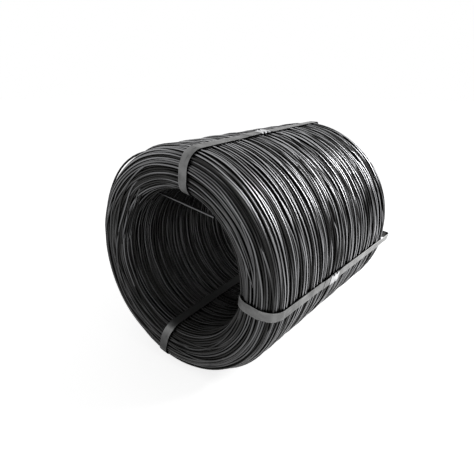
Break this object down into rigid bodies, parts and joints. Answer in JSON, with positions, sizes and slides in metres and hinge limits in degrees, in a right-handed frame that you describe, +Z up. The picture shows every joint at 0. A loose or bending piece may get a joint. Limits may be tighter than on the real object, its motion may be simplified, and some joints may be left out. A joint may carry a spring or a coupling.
{
  "type": "coil of wire rod",
  "caption": "Heavy hollow coil of dark steel wire rod lying on its side, bound lengthwise through its bore by flat steel straps with crimped seals.",
  "frame": {"origin": "on the floor, under the middle of the bound coil's box", "axes": "+Y along the coil's axis from the near end to the far end, +Z up, +X to the right seen from the near end"},
  "size_m": [0.8037, 0.9835, 0.8073],
  "materials": {
    "rod": "dark oxide scale, half gloss along the turns",
    "strap": "dull grey steel band with brighter rubbed edges",
    "seal": "bright galvanized sheet, crimped"
  },
  "bodies": {
    "root": {"coil": "rod", "strap_top": "strap", "strap_right": "strap", "strap_bottom": "strap", "seal_top": "seal", "seal_right": "seal", "seal_bottom": "seal"}
  },
  "joints": []
}
